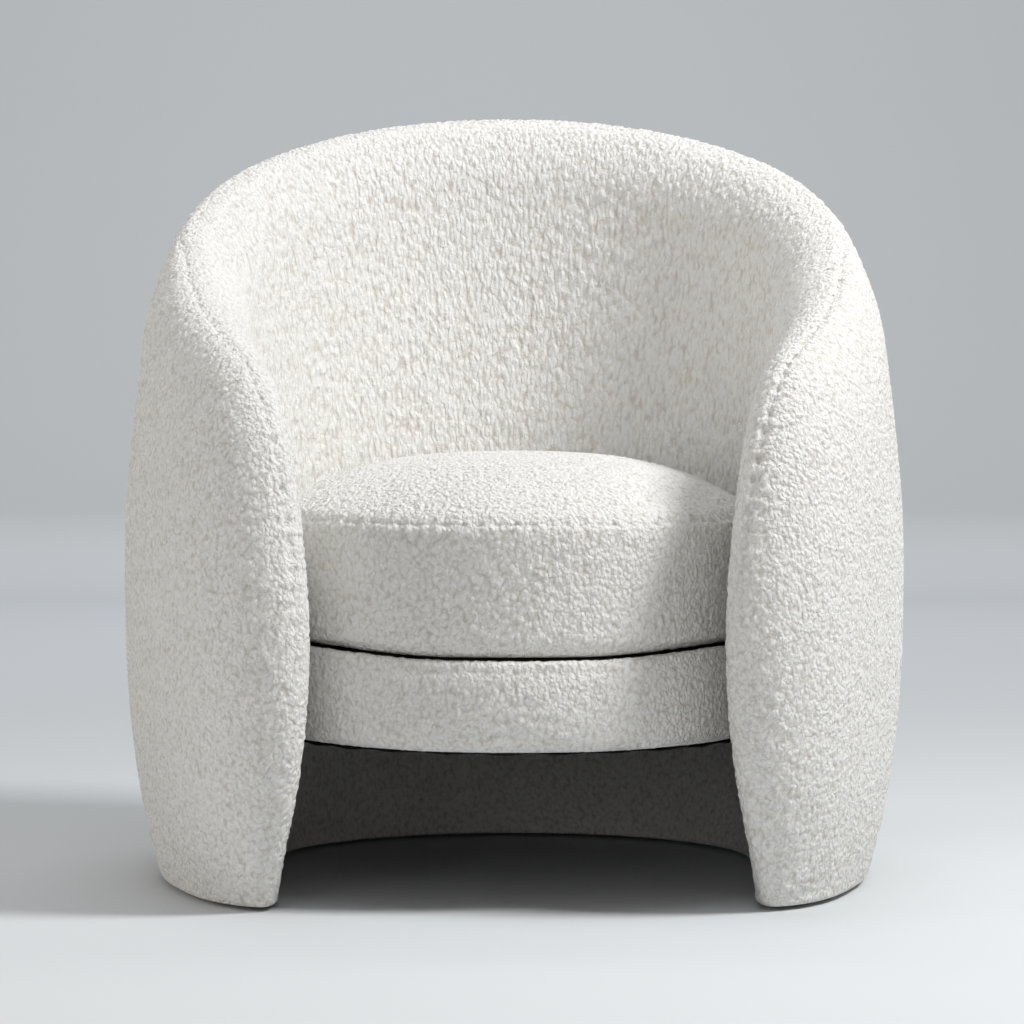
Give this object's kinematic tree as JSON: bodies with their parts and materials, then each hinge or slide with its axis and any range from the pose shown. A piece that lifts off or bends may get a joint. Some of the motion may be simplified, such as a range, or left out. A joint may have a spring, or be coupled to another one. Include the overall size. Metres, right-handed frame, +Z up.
{
  "type": "barrel armchair",
  "caption": "Barrel armchair: a thick curly-pile wall wraps the back and arms down to the floor round a hung bow-front seat with a loose cushion.",
  "frame": {"origin": "on the floor, in the middle of the chair's width and depth", "axes": "+X to the sitter's left, -Y is the open front, +Z up"},
  "size_m": [0.8116, 0.8595, 0.8036],
  "materials": {
    "boucle": "looped curly pile, matt",
    "lining": "plain woven, matt",
    "cambric": "spun, matt",
    "zip_cloth": "woven tape",
    "foam": "open cell, matt",
    "fibre": "lofted fibre, matt",
    "felt": "needled felt, matt",
    "plywood": "sawn, unfinished",
    "bending_ply": "sanded, unfinished",
    "beech": "planed, unfinished",
    "nylon": "moulded, satin",
    "nail_steel": "drawn",
    "bolt_steel": "zinc plated",
    "spring_steel": "oiled",
    "zip_metal": "satin nickel"
  },
  "bodies": {
    "frame": {"arm_rib_left": "plywood", "arm_rib_right": "plywood", "arm_ring": "plywood", "back_rib": "plywood", "back_rib_left": "plywood", "back_rib_right": "plywood", "corner_blocks": "beech", "crown_ring": "plywood", "deck_cloth": "lining", "deck_pad": "felt", "dust_cloth": "cambric", "floor_ring": "plywood", "front_rib_left": "plywood", "front_rib_right": "plywood", "glide_nails": "nail_steel", "glides": "nylon", "inner_cover": "boucle", "inner_foam": "foam", "inner_skin": "bending_ply", "outer_cover": "boucle", "outer_foam": "foam", "outer_skin": "bending_ply", "seat_back_rail": "beech", "seat_band_cover": "boucle", "seat_band_foam": "foam", "seat_bolts": "bolt_steel", "seat_front_rail": "beech", "seat_hanger_blocks": "beech", "seat_ring": "plywood", "seat_side_rail_left": "beech", "seat_side_rail_right": "beech", "seat_springs": "spring_steel", "shoulder_ring": "plywood", "side_rib_left": "plywood", "side_rib_right": "plywood", "spring_clips": "bolt_steel"},
    "cushion": {"cushion_core": "foam", "cushion_wrap": "fibre", "cushion_top_panel": "boucle", "cushion_boxing": "boucle", "cushion_bottom_panel": "boucle", "zip_tape": "zip_cloth"},
    "zip_slider": {"zip_slider": "zip_metal"}
  },
  "joints": [
    {"name": "cushion_lift", "type": "slide", "parent": "frame", "child": "cushion", "axis": [0, 0, 1], "range_m": [0, 0.6]},
    {"name": "zip_run", "type": "hinge", "parent": "cushion", "child": "zip_slider", "pos_m": [0, 0.027, 0.3], "axis": [0, 0, 1], "range_deg": [0, 135]}
  ]
}
